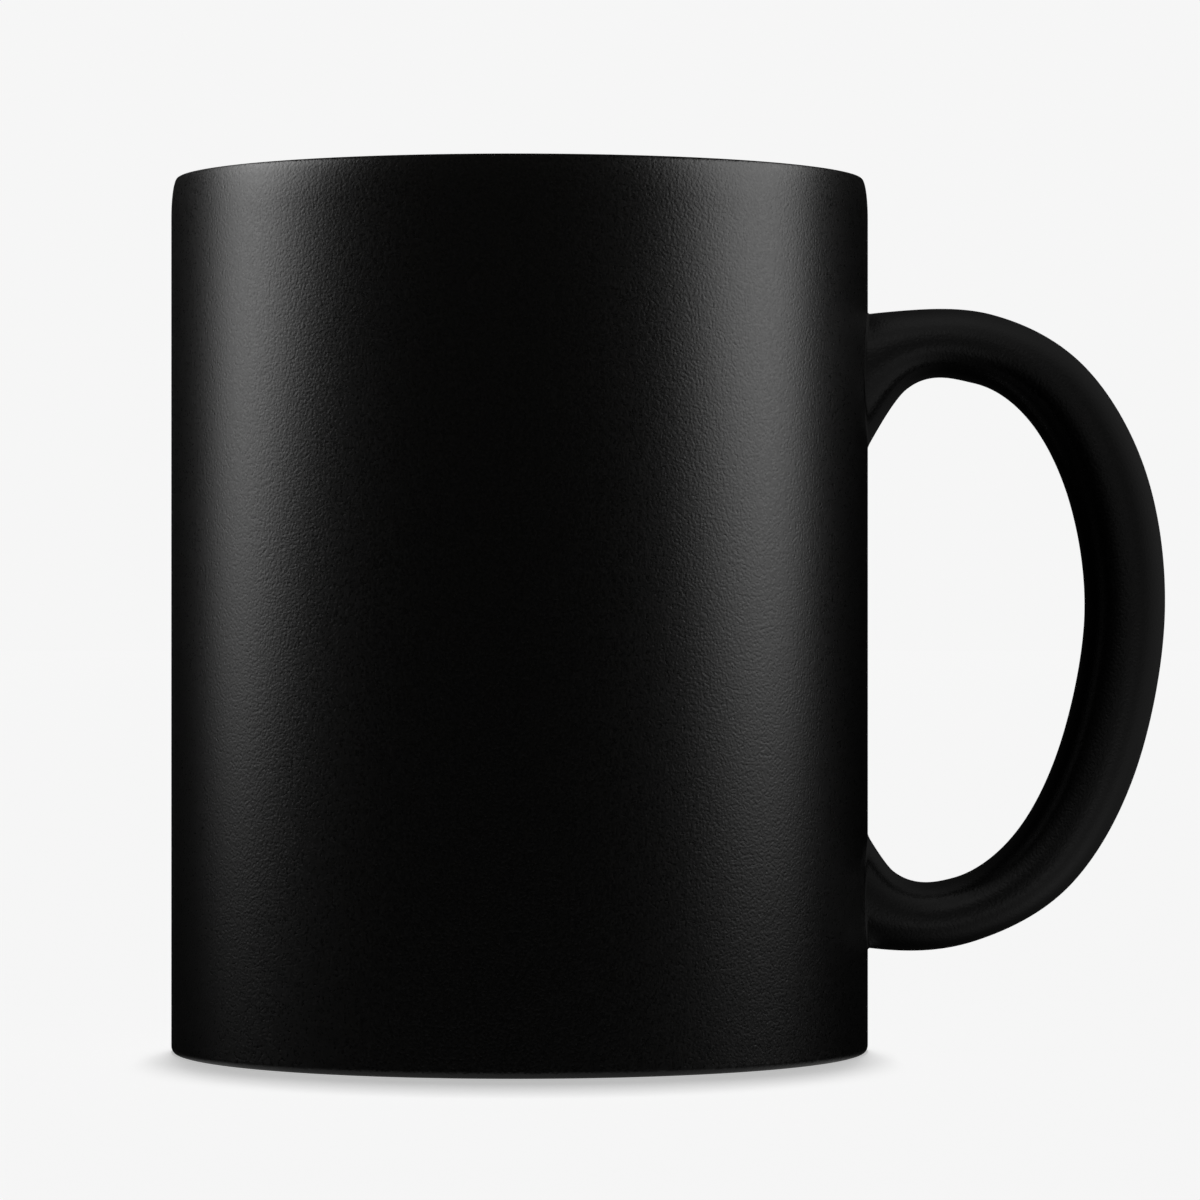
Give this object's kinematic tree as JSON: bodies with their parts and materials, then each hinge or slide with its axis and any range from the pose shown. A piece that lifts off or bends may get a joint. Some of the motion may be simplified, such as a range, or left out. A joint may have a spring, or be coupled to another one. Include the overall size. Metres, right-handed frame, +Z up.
{
  "type": "ceramic mug",
  "caption": "Straight-sided ceramic mug with a thin, rounded lip, a recessed foot ring and an ear-shaped handle, in satin black glaze.",
  "frame": {"origin": "the middle of the mug's whole footprint, body and handle together, on the plane of the foot ring that it stands on; the body's own axis is 17.1 mm from it towards -X", "axes": "+Z up along the body's axis, towards the lip; +X from the body towards the handle; the mug is symmetric about the XZ plane"},
  "size_m": [0.1141, 0.08, 0.1],
  "materials": {
    "satin_black_glaze": "satin-matte black glaze, dipped and fired",
    "gloss_black_glaze": "gloss black liner glaze, poured and fired",
    "bare_stoneware": "unglazed stoneware clay, wiped clean and fired",
    "fired_slip": "unglazed luting slip, fired"
  },
  "bodies": {
    "root": {"body": "bare_stoneware", "handle": "bare_stoneware", "upper_slip_joint": "fired_slip", "lower_slip_joint": "fired_slip", "outer_glaze": "satin_black_glaze", "handle_glaze": "satin_black_glaze", "liner_glaze": "gloss_black_glaze", "base_glaze": "satin_black_glaze"}
  },
  "joints": []
}
